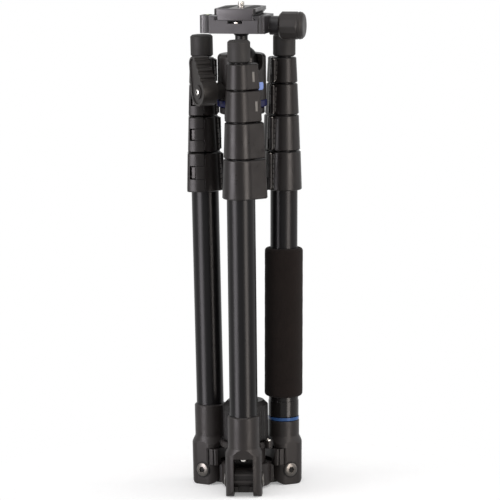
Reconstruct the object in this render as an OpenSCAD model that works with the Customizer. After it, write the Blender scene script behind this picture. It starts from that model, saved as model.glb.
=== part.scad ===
// Travel tripod: three five-section legs folded up around a raised centre column and ball head.
// Millimetres, +Z up. The origin is on the column axis, on the plane that the folded tripod stands on.
// The front leg points to -Y and the other two stand 120 degrees to each side of it.

/* [Layout] */
// Distance from the column axis to each pivot bolt
pivot_r = 37.5; // [37.25:0.25:38.5]
// Height of the pivot bolts when folded
pivot_z = 14; // [13.75:0.25:14.5]
// Outward lean of a folded leg in degrees
leg_splay = 0.75; // [0.65:0.05:0.9]
// Distance from the pivot bolt out to the leg's own axis
leg_off = 1; // [0.75:0.25:1.25]
// Clearance between pieces that move past each other
clear = 0.3; // [0.25:0.05:0.35]
// Radial running clearance of a shaft in its hole
run = 0.07; // [0.03:0.01:0.09]

/* [Leg tubes] */
// Diameter of the largest leg tube
tube_d = 25; // [24.6:0.1:25.2]
// Difference in diameter from one section to the next
tube_step = 3; // [2.9:0.1:3.1]
// Wall thickness of the leg tubes
tube_wall = 1.2; // [0.9:0.05:1.2]
// Height above the pivot at which the largest tube is seated in its casting
tube_seat_z = 34; // [33:0.5:36]
// Height above the pivot of the lower end of the second tube
tube_end_z = 40; // [38:0.5:44]
// How much higher each smaller tube ends
tube_end_step = 3; // [2:0.5:4]

/* [Leg locks] */
// Height above the pivot of the lowest lock
lock_z = 259.5; // [257:0.5:261]
// Height of each lock, largest first
lock_h = [35.5, 32, 28, 23]; // [20:0.5:37]
// Gap between one lock and the next
lock_gap = 1; // [0.75:0.25:1.5]
// Radius of each lock at its lower, wider end
lock_low_r = [16.5, 14.8, 13.5, 12.2]; // [12:0.1:17]
// Radius of each lock at its upper, narrower end
lock_top_r = [15.3, 13.6, 12.3, 11.1]; // [10.8:0.1:16]
// Reach of each lock's clamping boss from the tube axis
lock_reach = [23.7, 22.2, 19.4, 17.7]; // [17:0.1:24]
// How much bigger the eccentric outline of boss and lever is than the lock
lever_swell = 1.9; // [1.5:0.1:2.2]
// Direction in degrees in which the boss's flat cheek faces, from straight outward
cheek_angle = 34; // [28:1:38]
// Step from the round lock down to the flat cheek
cheek_step = 0.15; // [0.1:0.05:0.3]
// Thickness of the lever at its hinge
lever_root_t = 2; // [1.8:0.1:2]
// Radius of the hinge knuckles
knuckle_r = 2.3; // [2.1:0.1:2.3]
// Radius of the hinge pin
pin_r = 1.1; // [0.9:0.05:1.2]
// Edge chamfer of the locks
lock_edge = 0.8; // [0.6:0.1:1.2]
// Cut at the corners of the lever
lever_cut = 4.8; // [4:0.2:5.6]

/* [Feet] */
// Radius of the rubber foot
foot_r = 10.3; // [9.8:0.1:10.5]
// Height of the rubber foot
foot_h = 20.5; // [18:0.5:21]
// Radius of the slightly domed end of the foot
foot_dome_r = 60; // [50:1:80]
// Chamfer around the domed end of the foot
foot_rim = 2.2; // [1.6:0.1:2.6]
// Radius of the ring groove in the domed end
foot_groove_r = 5.6; // [5:0.1:6.2]
// Width and depth of the ring groove
foot_groove_w = 0.8; // [0.6:0.1:1]
// Chamfer at the open end of the foot
foot_edge = 1.4; // [0.8:0.1:1.8]
// Depth to which the smallest tube is seated in the foot
foot_socket = 14; // [12:0.5:16]

/* [Leg castings] */
// Radius of the round upper part
yoke_r = 14.5; // [14.2:0.1:14.8]
// Height above the pivot of the top of the casting
yoke_top_z = 60; // [56:1:64]
// Height above the pivot of the top of the detachable leg's casting
grip_yoke_z = 45.2; // [44:0.4:47]
// Height above the pivot at which the fork begins to narrow
yoke_flare_z = 24; // [23.5:0.5:25]
// Height of the narrowing from the fork to the round part
yoke_taper_h = 6.5; // [5:0.5:8]
// Edge rounding of the castings
yoke_edge = 1; // [0.6:0.1:1.4]
// Width over both ears of the fork
fork_w = 33; // [32.6:0.1:33.4]
// Depth of the fork in the direction of the column
fork_d = 29; // [28.75:0.25:29.5]
// Corner radius of the fork in plan
fork_corner = 10; // [9:0.5:11]
// Radius of the lower corners of the ears
ear_corner = 9; // [8.5:0.25:10]
// Width of the slot between the ears
slot_w = 17.6; // [17.5:0.1:18]
// Height above the pivot of the top of the slot
slot_top_z = 22; // [21.5:0.5:23]
// Radius of the pivot bolt
bolt_r = 3; // [2.8:0.1:3.2]
// Radius of the head of the pivot bolt
bolt_head_r = 6.2; // [5.8:0.1:6.4]
// Height of the head of the pivot bolt
bolt_head_h = 3.4; // [3:0.1:3.8]
// How far the head of the pivot bolt stands out of the ear
bolt_proud = 0.3; // [0.1:0.1:0.5]
// Size of the hexagon socket across its corners
hex_d = 4.6; // [4.2:0.1:5]
// Depth of the hexagon socket
hex_deep = 2; // [1.5:0.1:2.2]

/* [Angle stops] */
// Distance of the stop's front from the pivot, towards the column
stop_front = 5; // [4.8:0.1:5.4]
// Depth of the stop
stop_d = 10.6; // [10:0.1:10.8]
// Height of the underside of the stop above the pivot
stop_z = 5; // [4.8:0.1:5.4]
// Height of the stop
stop_h = 15; // [14.5:0.25:15.5]
// Height of the stop's tooth above its underside
tooth_up = 5.8; // [5.6:0.1:6.2]
// Set-back of the stop's tooth from its front
tooth_back = 3.4; // [3.2:0.1:4]
// Travel of the stop towards the column
stop_travel = 3; // [2:0.25:3]
// Width of the grooves between the grip ribs
rib_gap = 1.8; // [1.2:0.1:2]
// Depth of the grooves between the grip ribs
rib_deep = 1.2; // [0.8:0.1:1.4]

/* [Hub] */
// Radius of the skirt between the legs
skirt_r = 22.5; // [22:0.25:23.5]
// Height of the underside of the hub
hub_z = 2; // [1.8:0.1:2.4]
// Height of the top edge of the skirt
skirt_top_z = 23; // [22:0.5:24]
// Radius of the waist above the skirt
waist_r = 17.5; // [17:0.25:17.75]
// Height of the underside of the hub's top flange
flange_z = 37.5; // [36:0.5:39]
// Radius of the hub's top flange
flange_r = 23.5; // [23:0.25:24]
// Height of the top of the hub
hub_top_z = 43.6; // [43:0.2:44.4]
// Edge chamfer of the hub
hub_edge = 1.2; // [0.8:0.1:1.5]
// Width of the lugs that carry the legs
lug_w = 17; // [16.6:0.1:17]
// Radius of the lug around the pivot bolt
lug_r = 12; // [11.6:0.1:12.1]
// Depth of the notches in the lug for the leg angles
notch_deep = 2.6; // [1.8:0.1:2.8]
// Width of the notches in the lug for the leg angles
notch_w = 4; // [3.6:0.1:4.4]
// Width of the recess under the front of the lug
recess_w = 10.4; // [9:0.2:11]
// Distance from the pivot to the recess in the lug
recess_off = 4.6; // [4.4:0.1:5]
// Radius of the neck inside the column lock
neck_r = 15; // [14.5:0.1:15.4]
// Height of the neck inside the column lock
neck_h = 18; // [16:0.5:20]
// Radius of the strap boss on the flange
strap_r = 3.6; // [3:0.1:4]
// Distance of the strap boss outside the flange's edge
strap_out = 1; // [0.8:0.1:1.6]

/* [Centre column] */
// Radius of the centre column
column_r = 11; // [10.8:0.1:11.2]
// Wall of the centre column
column_wall = 1.6; // [1.2:0.1:2]
// Height of the top of the centre column
column_top_z = 346; // [345:0.5:347]
// Radius of the platform at the top of the column
platform_r = 16.3; // [15.5:0.1:16.5]
// Thickness of the platform at the top of the column
platform_h = 5; // [4:0.5:6]
// Radius of the head's mounting stud
head_stud_r = 4.76; // [4.7:0.01:4.8]
// Length of the head's mounting stud
head_stud_l = 5; // [4:0.5:5.5]
// Length of the plug in the lower end of the column
plug_l = 12; // [10:0.5:16]
// Radius of the threaded hole in the plug
plug_hole_r = 3.175; // [3:0.025:3.2]
// Radius of the twist lock of the column
twist_r = 20.5; // [20:0.1:20.8]
// Height of the twist lock of the column
twist_h = 37; // [35:0.5:37.5]
// Chamfer at the top of the twist lock
twist_edge = 4; // [3:0.25:5]
// Number of grip grooves around the twist lock
twist_grooves = 24; // [12:6:30]
// Radius of the grip grooves around the twist lock
twist_groove_r = 1.3; // [1:0.1:1.5]

/* [Ball head] */
// Radius of the pan base
base_r = 20.5; // [20:0.1:21.5]
// Height of the pan base
base_h = 6.2; // [5.8:0.1:6.6]
// Radius of the pan spindle
spindle_r = 8; // [7:0.25:9]
// Length of the pan spindle
spindle_l = 9; // [8.6:0.1:9.4]
// Radius of the coloured pan ring
pan_r = 22.6; // [22:0.1:23]
// Height of the coloured pan ring
pan_h = 6.5; // [6.2:0.1:6.8]
// Edge chamfer of the pan ring
pan_edge = 0.8; // [0.4:0.1:1.2]
// Radius of the head's body
body_r = 22; // [21.5:0.1:22.2]
// Height of the head's body
body_h = 41.6; // [41:0.1:42]
// Rounding of the rim of the body
rim_r = 4; // [3:0.25:4.5]
// Radius of the ball
ball_r = 15.2; // [15:0.1:15.3]
// Height of the ball's centre above the foot of the body
ball_up = 34; // [33.5:0.1:34.5]
// Radius of the neck on the ball
ball_neck_r = 5.75; // [5.4:0.05:6]
// Radius of the cone under the clamp
ball_cone_r = 9; // [8:0.25:10]
// Height of the cone under the clamp
ball_cone_h = 3.6; // [3:0.2:5]
// Depth of the drop notch below the rim of the body
drop_deep = 14.6; // [13:0.2:15]
// Width of the drop notch
drop_w = 13; // [12.8:0.1:14]
// Direction of the drop notch in degrees
drop_yaw = -45; // [-50:1:-40]
// Direction of the ball-lock knob in degrees
lock_yaw = 211; // [208:0.5:213]
// Height of the ball-lock knob's axis above the foot of the body
lock_up = 8.4; // [8.2:0.1:9]
// Radius of the boss that carries the ball-lock knob
lock_boss_r = 7.8; // [7:0.1:8]
// Radius of the shaft of the ball-lock knob
lock_shaft_r = 3.5; // [3:0.1:4]
// Length of the shaft of the ball-lock knob
lock_shaft_l = 10; // [8:0.5:11]
// Radius of the round part of the ball-lock knob
lock_knob_r = 12.7; // [12.4:0.1:12.9]
// Thickness of the ball-lock knob
lock_knob_t = 14.6; // [14:0.1:15]
// Distance of the knob's outer face from the column axis
lock_knob_face = 45.6; // [45.2:0.1:46]
// Distance from the knob's axis to the centre of its paddle's tip
paddle_l = 26.5; // [25:0.5:27.5]
// Radius of the paddle's tip
paddle_tip_r = 6.8; // [6:0.1:7]
// Lean of the paddle in degrees
paddle_lean = 20; // [15:1:22]
// Radius of the finger scallops along the paddle
scallop_r = 2.5; // [2:0.1:3]
// Width of the raised rim on the knob's face
knob_rim = 2; // [1.5:0.1:2.5]
// Depth of the hollow inside the raised rim
knob_hollow = 0.9; // [0.6:0.1:1.2]

/* [Quick-release clamp] */
// Direction of the clamp's screw in degrees
clamp_yaw = -10.7; // [-11.5:0.1:-10]
// Height of the underside of the clamp above the ball's centre
clamp_up = 27; // [26.8:0.1:27.4]
// Thickness of the clamp's base
clamp_h = 12; // [11.5:0.25:12.25]
// Height of the jaws above the base
jaw_h = 4; // [3.8:0.1:4.2]
// Length of the clamp along the plate
clamp_l = 49; // [48.5:0.1:49]
// Width of the fixed jaw
jaw_w = 5; // [4.6:0.1:5]
// Distance from the axis to the end of the base under the sliding jaw
clamp_right = 20.7; // [20.4:0.1:20.8]
// Width of the sliding jaw
slider_w = 6.5; // [6.2:0.1:6.6]
// How much of the back corner beside the folded leg is cut off along the jaw
trim_l = 13.6; // [13.6:0.2:14.6]
// How much of the back corner beside the folded leg is cut off across the jaw
trim_w = 17; // [17:0.25:18.5]
// Width of the channel in the base
channel_w = 13.5; // [13:0.1:14]
// Depth of the channel in the base
channel_deep = 3; // [2.5:0.1:3.2]
// Radius of the stop pin in the channel
guard_r = 0.8; // [0.6:0.1:1]
// Reach of the level's boss beyond the fixed jaw
boss_reach = 10.3; // [10:0.1:10.5]
// Length of the level's boss
boss_l = 14; // [13:0.25:14.5]
// Distance from the front of the clamp to the level's boss
boss_off = 4.5; // [4:0.25:5]
// Corner rounding of the level's boss
boss_round = 4; // [3:0.25:5]
// Radius of the spirit level
level_r = 4.3; // [4:0.1:4.5]
// Height of the spirit level
level_h = 5; // [4:0.25:6]
// Radius of the clamp screw
screw_r = 3; // [2.6:0.1:3.2]
// Length of the clamp screw inside the clamp's base
screw_l = 11; // [9:0.5:12]
// Radius of the clamp screw's collar
collar_r = 8.6; // [8:0.1:9]
// Length of the clamp screw's collar
collar_l = 8.4; // [8:0.1:8.6]
// Radius of the clamp knob
clamp_knob_r = 12.6; // [12.2:0.1:12.7]
// Length of the clamp knob
clamp_knob_l = 22.7; // [22:0.1:23.5]
// Chamfer of the clamp knob
clamp_knob_edge = 2.2; // [1.5:0.1:2.5]
// Number of flats around the knob's grip
clamp_knob_flats = 12; // [8:1:12]
// Length of the knurled end of the clamp knob
clamp_cap_l = 5.5; // [4.5:0.1:6]
// Number of notches around the end of the clamp knob
clamp_cap_notches = 12; // [8:2:16]

/* [Camera plate] */
// Width of the plate
plate_w = 38; // [37.8:0.1:38.2]
// Length of the plate
plate_l = 49; // [48.5:0.1:49]
// Height of the plate
plate_h = 10.5; // [10:0.1:11]
// Depth of the dovetail grooves
groove_deep = 3.2; // [3:0.1:3.3]
// Thickness of the plate's lower flange
flange_t = 0.8; // [0.6:0.1:1]
// Thickness of the plate's deck
deck_t = 3; // [2.8:0.1:3.1]
// Side clearance between the plate and the jaws
plate_clear = 0.1; // [0.05:0.05:0.2]
// Chamfer of the plate's front corners
plate_cut = 2.2; // [2:0.1:2.6]
// Radius of the camera screw's thread
stud_r = 3.175; // [3.15:0.005:3.2]
// Radius of the camera screw's neck inside the plate
stud_neck_r = 2.5; // [2.3:0.05:2.6]
// Height of the camera screw above the plate
stud_up = 5.2; // [4.8:0.1:5.6]
// Depth of the relief around the camera screw in the top of the plate
stud_relief = 1.2; // [0.8:0.1:1.6]
// Radius of the camera screw's head
stud_head_r = 7.5; // [7:0.1:8]
// Height of the camera screw's head
stud_head_h = 2.4; // [2:0.1:2.8]
// Depth of the coin slot in the camera screw's head
stud_slot = 1.2; // [0.8:0.1:1.4]

/* [Foam grip] */
// Radius of the foam grip
grip_r = 17.6; // [17:0.1:17.8]
// Length of the foam grip
grip_l = 138.3; // [130:0.5:142]
// Rounding of the grip's ends
grip_round = 3; // [2:0.25:4]
// Height of the trim ring
ring_h = 2.8; // [2:0.1:3]
// Radius of the screw collar
grip_collar_r = 14; // [13.9:0.1:14.3]
// Height of the screw collar
grip_collar_h = 15; // [14:0.5:15.5]
// Height of the bushing between collar and foam
bushing_h = 3.6; // [3:0.2:4]
// Radius of the bushing between collar and foam
bushing_r = 13.6; // [13.5:0.1:13.9]

/* [Hidden] */
$fn = 64;
// Reach of half-space cuts and overrun of through cuts
big = 3 * fork_w;
over = clear;

// Front, right and left leg
leg_azimuths = [-90, 30, 150];
grip_leg = 1;
strap_yaw = -30;

// Directions around a lock, counted in degrees from straight outward
recess_angle = 89;
tongue_angle = 103;
boss_angle = 124;
lever_angle = 125.5;
hinge_angle = 193;
// Overlap in degrees between sectors that join
lap_angle = 1;
// Shares of the lock's height between which the tongue and the middle knuckle lie
band_shares = [0.34, 0.67];
// Share of the lock's height that grips the larger tube
socket_share = 0.45;
// Directions of the angle notches around the lug, in degrees above straight outward
notch_at = [-24, 6, 36];
// Places of the finger scallops along the paddle's edge
scallop_shares = [0.32, 0.58, 0.84, 1.1];

function tube_r(i) = (tube_d - i * tube_step) / 2;
function bore_r(i) = tube_r(i) - tube_wall;
function tube_low(i) = i == 0 ? tube_seat_z : tube_end_z + (i - 1) * tube_end_step;
function lock_at(i) = i == 0 ? lock_z : lock_at(i - 1) + lock_h[i - 1] + lock_gap;
function lock_mid_r(i) = (lock_low_r[i] + lock_top_r[i]) / 2;
function swell_off(i) = lock_reach[i] - lock_mid_r(i) - lever_swell;
function hinge_r(i) = lock_mid_r(i) + lever_root_t / 4;
// Where the lever's outer bands end, beside the knuckles
function lever_to(i) = hinge_angle - asin((knuckle_r + clear) / hinge_r(i));
function band(i) = [band_shares[0] * lock_h[i], band_shares[1] * lock_h[i]];
function socket_h(i) = socket_share * lock_h[i];
function yoke_top(n) = n == grip_leg ? grip_yoke_z : yoke_top_z;

foot_z = lock_at(len(lock_h));
ear_inner = slot_w / 2;
ear_outer = fork_w / 2;
head_inner = ear_outer + bolt_proud - bolt_head_h;
ear_drop = pivot_z - (fork_d / 2 - ear_corner + leg_off) * tan(leg_splay);
pocket_r = norm([fork_d / 2 + leg_off - ear_corner, ear_drop - ear_corner]) + ear_corner + clear;
room_r = waist_r + 3 * clear;
tooth_z = stop_z + tooth_up;

pan_z = column_top_z + base_h + clear;
body_z = pan_z + pan_h;
ball_z = body_z + ball_up;
clamp_z = ball_z + clamp_up;
jaw_x = plate_w / 2 + plate_clear;
clamp_left = jaw_x + jaw_w;
slider_x = clamp_right + clear + slider_w;
collar_end = slider_x + collar_l;
screw_z = clamp_h / 2;
grip_collar_z = grip_yoke_z + ring_h + clear;
grip_z = grip_collar_z + grip_collar_h + bushing_h + clear;

/* Shared shapes */

// A straight or tapered drum with chamfered edges, standing on the ground plane.
module drum(r_low, r_top, h, edge) {
    rotate_extrude() polygon([
        [0, 0], [r_low - edge, 0], [r_low, edge], [r_top, h - edge], [r_top - edge, h], [0, h]
    ]);
}

// A ring between two radii.
module ring(r_out, r_in, h) {
    difference() {
        cylinder(r = r_out, h = h);
        translate([0, 0, -over]) cylinder(r = r_in, h = h + 2 * over);
    }
}

// A sector of a tall disc between two directions less than 180 degrees apart.
module sector(from, to, reach, h) {
    middle = (from + to) / 2;
    far = reach / cos((to - from) / 2);
    linear_extrude(h) polygon([
        [0, 0],
        [reach * cos(from), reach * sin(from)],
        [far * cos(middle), far * sin(middle)],
        [reach * cos(to), reach * sin(to)]
    ]);
}

// A rectangle with rounded corners, centred.
module round_rect(w, d, r) {
    square([w - 2 * r, d], center = true);
    square([w, d - 2 * r], center = true);
    for (x = [-1, 1], y = [-1, 1]) translate([x * (w / 2 - r), y * (d / 2 - r)]) circle(r);
}

// A cylinder along the Y axis, centred.
module cross_bar(r, l) {
    rotate([90, 0, 0]) cylinder(r = r, h = l, center = true);
}

// Places its children on a leg's axis, at the height of the pivot, with +X straight outward.
module on_leg(n) {
    rotate([0, 0, leg_azimuths[n]])
        translate([pivot_r, 0, pivot_z])
            rotate([0, leg_splay, 0])
                translate([leg_off, 0, 0]) children();
}

// Places its children at a leg's pivot, upright.
module at_pivot(n) {
    rotate([0, 0, leg_azimuths[n]]) translate([pivot_r, 0, pivot_z]) children();
}

// Places its children on the ball head's clamp, at its underside, with +X along its screw.
module on_clamp(up = 0) {
    rotate([0, 0, clamp_yaw]) translate([0, 0, clamp_z + up]) children();
}

/* Leg castings and angle stops */

// The fork's plan, with its slot still closed.
module fork_plan() {
    round_rect(fork_d, fork_w, fork_corner);
}

// The fork's outline from the side: ears with rounded lower corners.
module fork_side() {
    h = yoke_flare_z + yoke_taper_h + over;
    translate([-fork_d / 2, ear_corner - ear_drop]) square([fork_d, h + ear_drop - ear_corner]);
    translate([ear_corner - fork_d / 2, -ear_drop]) square([fork_d - 2 * ear_corner, ear_drop]);
    for (x = [-1, 1])
        translate([x * (fork_d / 2 - ear_corner), ear_corner - ear_drop]) circle(ear_corner);
}

// The leg's top casting: a round socket for the tube above a fork that straddles the hub's lug.
module yoke(n) {
    top = yoke_top(n);
    difference() {
        union() {
            translate([0, 0, yoke_flare_z])
                drum(yoke_r, yoke_r, top - yoke_flare_z, yoke_edge);
            intersection() {
                translate([0, 0, -big])
                    linear_extrude(big + yoke_flare_z + yoke_taper_h) fork_plan();
                rotate([90, 0, 0]) linear_extrude(big, center = true) fork_side();
                union() {
                    translate([0, 0, -big]) cylinder(r = fork_w, h = big + yoke_flare_z);
                    translate([0, 0, yoke_flare_z])
                        cylinder(r1 = yoke_r + yoke_taper_h / 2, r2 = yoke_r, h = yoke_taper_h);
                }
            }
        }
        translate([0, 0, tube_seat_z]) cylinder(r = tube_r(0), h = top);
        translate([-leg_off, 0, 0]) {
            // Slot for the hub's lug
            translate([-big / 2, -ear_inner, -big + slot_top_z]) cube([big, slot_w, big]);
            // Window for the angle stop
            translate([-big - stop_front + clear, -big / 2, stop_z - clear])
                cube([big, big, stop_h + 2 * clear]);
            // Bolt hole and the seats of the bolt's heads
            cross_bar(bolt_r + run, big);
            for (side = [-1, 1])
                translate([0, side * (head_inner - clear + big / 2), 0])
                    cross_bar(bolt_head_r + clear, big);
        }
    }
}

// The sprung angle stop: two ribbed cheeks joined by a tooth that rides over the hub's lug.
module angle_stop() {
    w = fork_w - 2 * clear;
    translate([-leg_off - stop_front - stop_d, 0, stop_z]) difference() {
        linear_extrude(stop_h) {
            translate([stop_d / 2, 0]) square([stop_d, w - 2 * rib_deep], center = true);
            translate([(stop_d + 2 * rib_deep) / 2, 0])
                square([stop_d - 2 * rib_deep, w], center = true);
            for (side = [-1, 1])
                translate([2 * rib_deep, side * (w / 2 - 2 * rib_deep)]) circle(2 * rib_deep);
        }
        // Slot over the lug and set-back in front of the tooth
        translate([-over, -ear_inner, -over]) cube([stop_d + 2 * over, slot_w, tooth_up + over]);
        translate([stop_d - tooth_back, -ear_inner, -over])
            cube([tooth_back + over, slot_w, tooth_up + tooth_back]);
        // Grooves between the ribs
        for (side = [-1, 1], x = [stop_d / 2 - rib_gap, stop_d / 2 + 2 * rib_gap])
            translate([x - rib_gap / 2, side * w / 2 - rib_deep, -over])
                cube([rib_gap, 2 * rib_deep, stop_h + 2 * over]);
    }
}

/* Tubes, locks, levers and feet */

// A leg tube from its lower end up into its lock or foot.
module tube(i) {
    top = i < len(lock_h) ? lock_at(i) + socket_h(i) : foot_z + foot_socket;
    translate([0, 0, tube_low(i)]) ring(tube_r(i), bore_r(i), top - tube_low(i));
}

// The eccentric outline that the clamping boss and the lever share.
module swell(i, grow = 0) {
    translate([0, swell_off(i), 0])
        drum(lock_low_r[i] + lever_swell + grow, lock_top_r[i] + lever_swell + grow,
            lock_h[i], lock_edge);
}

// The round outline of a lock with room around it.
module lock_room(i) {
    translate([0, 0, -over])
        cylinder(r1 = lock_low_r[i] + clear, r2 = lock_top_r[i] + clear, h = lock_h[i] + 2 * over);
}

// The straight flank from the round lock to its clamping boss.
module cheek(i) {
    low = lock_low_r[i] - cheek_step;
    top = lock_top_r[i] - cheek_step;
    h = lock_h[i];
    rotate([0, 0, cheek_angle]) translate([0, 2 * lock_reach[i], 0]) rotate([90, 0, 0])
        linear_extrude(2 * lock_reach[i]) polygon([
            [-low, 0], [low - lock_edge, 0], [low, lock_edge],
            [top, h - lock_edge], [top - lock_edge, h], [-low, h]
        ]);
}

// Places its children on the lever's hinge.
module at_hinge(i) {
    rotate([0, 0, hinge_angle]) translate([hinge_r(i), 0, 0]) children();
}

// A lock's collar with its clamping boss and the outer two of its three hinge knuckles.
module lock_collar(i, socket = true) {
    h = lock_h[i];
    low = band(i)[0];
    high = band(i)[1];
    translate([0, 0, lock_at(i)]) difference() {
        union() {
            drum(lock_low_r[i], lock_top_r[i], h, lock_edge);
            intersection() {
                swell(i);
                cheek(i);
                sector(cheek_angle - lap_angle, boss_angle, 2 * lock_reach[i], h);
            }
            at_hinge(i) {
                translate([0, 0, 2 * lock_edge]) cylinder(r = knuckle_r, h = low - 2 * lock_edge);
                translate([0, 0, high]) cylinder(r = knuckle_r, h = h - high - 2 * lock_edge);
            }
        }
        // Bore for the smaller tube, and the socket that the larger tube is glued into
        translate([0, 0, -over]) cylinder(r = tube_r(i + 1) + run, h = h + 2 * over);
        if (socket) translate([0, 0, -over]) cylinder(r = tube_r(i), h = socket_h(i) + over);
        // Recess for the lever's tongue
        translate([0, 0, low - clear]) difference() {
            sector(recess_angle, boss_angle + lap_angle, 2 * lock_reach[i],
                high - low + 2 * clear);
            translate([0, 0, clear - low]) lock_room(i);
        }
        // Room for the middle knuckle, and the hole for its pin
        at_hinge(i) {
            translate([0, 0, low - clear])
                cylinder(r = knuckle_r + clear, h = high - low + 2 * clear);
            translate([0, 0, -over]) cylinder(r = pin_r + run, h = h + 2 * over);
        }
    }
}

// A lever that lies around the lock, with a tongue for the thumb, its middle knuckle and its pin.
module lever(i) {
    h = lock_h[i];
    low = band(i)[0];
    high = band(i)[1];
    reach = 2 * lock_reach[i];
    translate([0, 0, lock_at(i)]) {
        difference() {
            intersection() {
                union() {
                    swell(i);
                    drum(lock_low_r[i] + lever_root_t + clear, lock_top_r[i] + lever_root_t + clear,
                        h, lock_edge);
                }
                union() {
                    sector(lever_angle, lever_to(i), reach, h);
                    translate([0, 0, low]) {
                        sector(tongue_angle, lever_angle + lap_angle, reach, high - low);
                        sector(lever_to(i) - lap_angle, hinge_angle - 2 * lap_angle, reach,
                            high - low);
                    }
                }
            }
            lock_room(i);
            // Cut corners beside the tongue
            rotate([0, 0, lever_angle]) for (z = [0, h])
                translate([lock_mid_r(i), -lever_cut / 4, z]) rotate([45, 0, 0])
                    cube([reach, lever_cut, lever_cut], center = true);
        }
        at_hinge(i) {
            translate([0, 0, low + clear / 2]) cylinder(r = knuckle_r, h = high - low - clear);
            translate([0, 0, lock_edge]) cylinder(r = pin_r, h = h - 2 * lock_edge);
        }
    }
}

// A rubber foot with a domed end and the socket of the smallest tube.
module foot() {
    translate([0, 0, foot_z]) difference() {
        intersection() {
            rotate_extrude() polygon([
                [0, 0], [foot_r - foot_edge, 0], [foot_r, foot_edge], [foot_r, foot_h - foot_rim],
                [foot_r - foot_rim, foot_h], [0, foot_h + foot_rim]
            ]);
            translate([0, 0, foot_h - foot_dome_r]) sphere(foot_dome_r);
        }
        translate([0, 0, -over]) cylinder(r = tube_r(len(lock_h)), h = foot_socket + over);
        translate([0, 0, foot_h - 2 * foot_groove_w])
            ring(foot_groove_r + foot_groove_w, foot_groove_r, 2 * foot_groove_w + foot_rim);
    }
}

/* Foam grip of the detachable leg */

module grip_foam() {
    color([0.16, 0.14, 0.13]) on_leg(grip_leg) translate([0, 0, grip_z]) difference() {
        union() {
            translate([0, 0, grip_round]) cylinder(r = grip_r, h = grip_l - 2 * grip_round);
            cylinder(r = grip_r - grip_round, h = grip_l);
            for (z = [grip_round, grip_l - grip_round]) translate([0, 0, z])
                rotate_extrude() translate([grip_r - grip_round, 0]) circle(grip_round);
        }
        translate([0, 0, -over]) cylinder(r = tube_r(0), h = grip_l + 2 * over);
    }
}

module grip_collar() {
    color([0.24, 0.23, 0.23]) on_leg(grip_leg) translate([0, 0, grip_collar_z]) difference() {
        union() {
            drum(grip_collar_r, grip_collar_r, grip_collar_h, yoke_edge / 2);
            cylinder(r = bushing_r, h = grip_collar_h + bushing_h);
        }
        translate([0, 0, -over])
            cylinder(r = tube_r(0) + clear, h = grip_collar_h + bushing_h + 2 * over);
    }
}

module grip_ring() {
    color([0.2, 0.38, 0.75]) on_leg(grip_leg) translate([0, 0, grip_yoke_z])
        ring(grip_collar_r + clear, tube_r(0), ring_h);
}

/* Hub, bolts, column and column lock */

// One lug: a disc around the bolt with a web to the hub, notched for the leg angles.
module lug(n) {
    at_pivot(n) difference() {
        union() {
            cross_bar(lug_r, lug_w);
            translate([room_r - pivot_r - hub_edge, -lug_w / 2, hub_z - pivot_z])
                cube([pivot_r - room_r + hub_edge, lug_w, skirt_top_z - hub_z - hub_edge]);
        }
        for (a = notch_at) rotate([0, -a, 0])
            translate([lug_r - notch_deep, -lug_w, 0]) cube([lug_r, 2 * lug_w, notch_w]);
        translate([recess_off, -recess_w / 2, -big - bolt_r - hub_edge]) cube([big, recess_w, big]);
        cross_bar(bolt_r, big);
    }
}

module hub() {
    e = hub_edge;
    color([0.27, 0.26, 0.26]) difference() {
        union() {
            difference() {
                union() {
                    rotate_extrude() polygon([
                        [0, hub_z], [skirt_r - e, hub_z], [skirt_r, hub_z + e],
                        [skirt_r, skirt_top_z - e], [skirt_r - e, skirt_top_z],
                        [waist_r, skirt_top_z], [waist_r, flange_z], [flange_r - e, flange_z],
                        [flange_r, flange_z + e], [flange_r, hub_top_z - e],
                        [flange_r - e, hub_top_z], [neck_r, hub_top_z],
                        [neck_r, hub_top_z + neck_h], [0, hub_top_z + neck_h]
                    ]);
                    rotate([0, 0, strap_yaw]) translate([flange_r + strap_out, 0, flange_z + e / 2])
                        cylinder(r = strap_r, h = hub_top_z - flange_z + e / 2);
                }
                // Room for the ears of the forks and for the angle stops
                for (n = [0 : 2]) at_pivot(n) {
                    cross_bar(pocket_r, fork_w + 4 * clear);
                    translate([room_r - pivot_r, -ear_outer - 2 * clear, stop_z - 4 * clear])
                        cube([big, fork_w + 4 * clear, hub_top_z]);
                }
            }
            for (n = [0 : 2]) lug(n);
        }
        translate([0, 0, hub_z - over])
            cylinder(r = column_r + run, h = hub_top_z + neck_h - hub_z + 2 * over);
    }
}

// Three pivot bolts with a hexagon socket at both ends.
module pivot_bolts() {
    color([0.72, 0.71, 0.69]) for (n = [0 : 2]) at_pivot(n) {
        difference() {
            union() {
                cross_bar(bolt_r, 2 * head_inner + bolt_head_h);
                for (side = [-1, 1])
                    translate([0, side * (head_inner + bolt_head_h / 2), 0]) rotate([90, 0, 0])
                        translate([0, 0, -bolt_head_h / 2])
                            cylinder(r = bolt_head_r, h = bolt_head_h);
            }
            for (side = [-1, 1])
                translate([0, side * (head_inner + bolt_head_h), 0])
                    rotate([90, 0, 0])
                        cylinder(d = hex_d, h = 2 * hex_deep, center = true, $fn = 6);
        }
    }
}

// The centre column: a tube with a threaded plug below and the head's platform and stud above.
module column() {
    color([0.1, 0.1, 0.11]) difference() {
        union() {
            cylinder(r = column_r, h = column_top_z);
            translate([0, 0, column_top_z - platform_h]) cylinder(r = platform_r, h = platform_h);
            cylinder(r = head_stud_r, h = column_top_z + head_stud_l);
        }
        translate([0, 0, plug_l])
            cylinder(r = column_r - column_wall, h = column_top_z - platform_h - plug_l);
        translate([0, 0, -over]) cylinder(r = plug_hole_r, h = plug_l + 2 * over);
    }
}

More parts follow.
